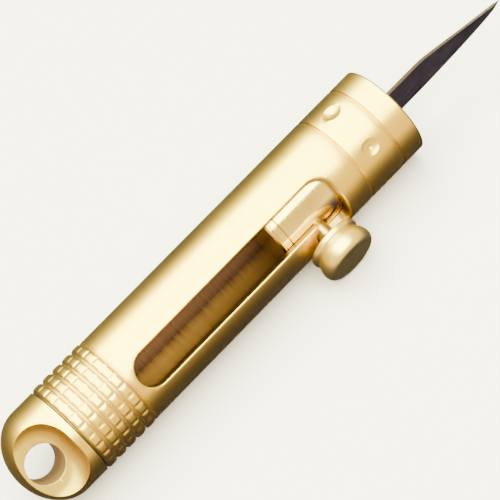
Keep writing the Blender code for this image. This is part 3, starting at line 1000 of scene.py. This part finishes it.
def area_light(name, degrees, distance, size, power, colour):
    """A softbox facing the handle from an angle about its axis."""
    data = bpy.data.lights.new(name, "AREA")
    data.shape = "RECTANGLE"
    data.size, data.size_y = size
    data.energy = power
    data.color = colour
    light = bpy.data.objects.new(name, data)
    bpy.context.scene.collection.objects.link(light)
    turn = math.radians(degrees)
    away = Vector((0, -math.sin(turn), math.cos(turn)))
    light.location = away * distance
    light.rotation_euler = away.to_track_quat("Z", "X").to_euler()


def build_world():
    """A plain studio: a pale warm glow above, fading to a dim cool tone below.

    Height is read along an axis that leans towards the camera. Each stop holds the
    height's cosine, the level of the light and its colour.
    """
    world = bpy.data.worlds.new("studio")
    bpy.context.scene.world = world
    world.use_nodes = True
    tree = world.node_tree
    direction = tree.nodes.new("ShaderNodeTexCoord").outputs["Generated"]
    lean = math.radians(20)
    height = tree.nodes.new("ShaderNodeVectorMath")
    height.operation = "DOT_PRODUCT"
    height.inputs[1].default_value = (0, -math.sin(lean), math.cos(lean))
    tree.links.new(direction, height.inputs[0])
    ramp = tree.nodes.new("ShaderNodeMapRange")
    tree.links.new(height.outputs["Value"], ramp.inputs["Value"])
    ramp.inputs["From Min"].default_value = -1.0
    ramp.inputs["To Min"].default_value = 0.0
    curve = tree.nodes.new("ShaderNodeValToRGB")
    tree.links.new(ramp.outputs["Result"], curve.inputs["Fac"])
    dim, cool, warm = (1.0, 0.84, 2.0), (1.0, 0.8, 2.5), (1.0, 0.78, 0.42)
    stops = ((-1.0, 0.017, dim), (-0.72, 0.022, dim), (-0.44, 0.033, cool))
    stops += ((-0.24, 0.083, cool), (-0.1, 0.15, (1.0, 0.79, 1.7)), (0.05, 0.5, warm))
    stops += ((0.2, 1.15, warm), (0.4, 0.95, warm), (1.0, 0.75, warm))
    elements = curve.color_ramp.elements
    while len(elements) < len(stops):
        elements.new(0.5)
    for element, (cosine, level, colour) in zip(elements, stops):
        element.position = (cosine + 1) / 2
        element.color = (*(level * c for c in colour), 1)
    back = tree.nodes["Background"]
    tree.links.new(curve.outputs["Color"], back.inputs["Color"])
    back.inputs["Strength"].default_value = 2.3


def build_lights():
    build_world()
    area_light("softbox above", -1, 0.6, (1.3, 0.7), 43.0, (1.0, 1.17, 0.66))


def build_camera():
    data = bpy.data.cameras.new("camera")
    data.lens = 184.29
    data.sensor_width = 36.0
    camera = bpy.data.objects.new("camera", data)
    bpy.context.scene.collection.objects.link(camera)
    right = Vector((0.68853, -0.65511, -0.31104))
    up = Vector((0.70118, 0.49191, 0.51611))
    place_at = Vector((-0.060986, -0.178401, 0.257565))
    turn = Matrix((right, up, right.cross(up))).transposed().to_4x4()
    camera.matrix_world = Matrix.Translation(place_at) @ turn
    bpy.context.scene.camera = camera


# ---------------------------------------------------------------- assembly


def place(obj, body, node, slot):
    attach(obj, body)
    if node:
        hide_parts(node)


def main():
    skin = satin_brass("satin brass", (0.9, 0.62, 0.08), 0.29)
    knob_skin = satin_brass("knob brass", (0.88, 0.69, 0.18), 0.3)
    polished = turned_brass("polished carrier brass", (0.92, 0.74, 0.2), 0.14, 4200.0, 0.08)
    # Painted shade: a darker brass for the grip's grooves and for the bolt's neck down in the
    # notch.
    darker_brass = satin_brass("shaded groove brass", (0.66, 0.5, 0.15), 0.3)
    # Painted shade darkens the cap's finger flats; their higher roughness is their own finish.
    milled_and_shaded = satin_brass("milled brass", (0.52, 0.33, 0.055), 0.42)
    # Painted shade: a darker, less metallic brass inside the ring's hole.
    drilled_and_shaded = satin_brass("drilled brass", (0.46, 0.27, 0.1), 0.4, 0.65)
    # Near-black brass on the rims: a dark joint at the seam, and painted shade on the nose's
    # rounded end.
    edge = satin_brass("edge brass", (0.2, 0.13, 0.05), 0.4)
    wall = shaded_wall_brass((0.85, 0.62, 0.12))
    barrel = build_barrel(skin, bore_brass(), darker_brass, edge, wall)
    place(barrel, "handle", "barrel", "brass")
    place(build_cap(skin, edge, milled_and_shaded, drilled_and_shaded), "handle", "tail_cap", "brass")
    place(build_carrier(polished), "carriage", "blade_carrier", "polished_brass")
    place(build_plug(polished), "carriage", "carrier_end_plug", "polished_brass")
    blade = build_blade(blade_steel(), ground_steel())
    place(blade, "carriage", "blade", "blade_steel")
    place(build_collar(knob_skin), "carriage", "knob_collar", "brass")
    place(build_knob(knob_skin), "carriage", "bolt_knob", "brass")
    place(build_neck(darker_brass), "carriage", None, "brass")
    spring = build_spring(spring_wire())
    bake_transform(spring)
    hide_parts("return_spring")
    kept = {
        "thrust_washer": polished,
        "bolt_stud": knob_skin,
        "tail_cap_oring": seal_rubber(),
    }
    for name, material in kept.items():
        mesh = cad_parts[name].data
        mesh.materials.clear()
        mesh.materials.append(material)
    build_stage()
    build_lights()
    build_camera()


main()
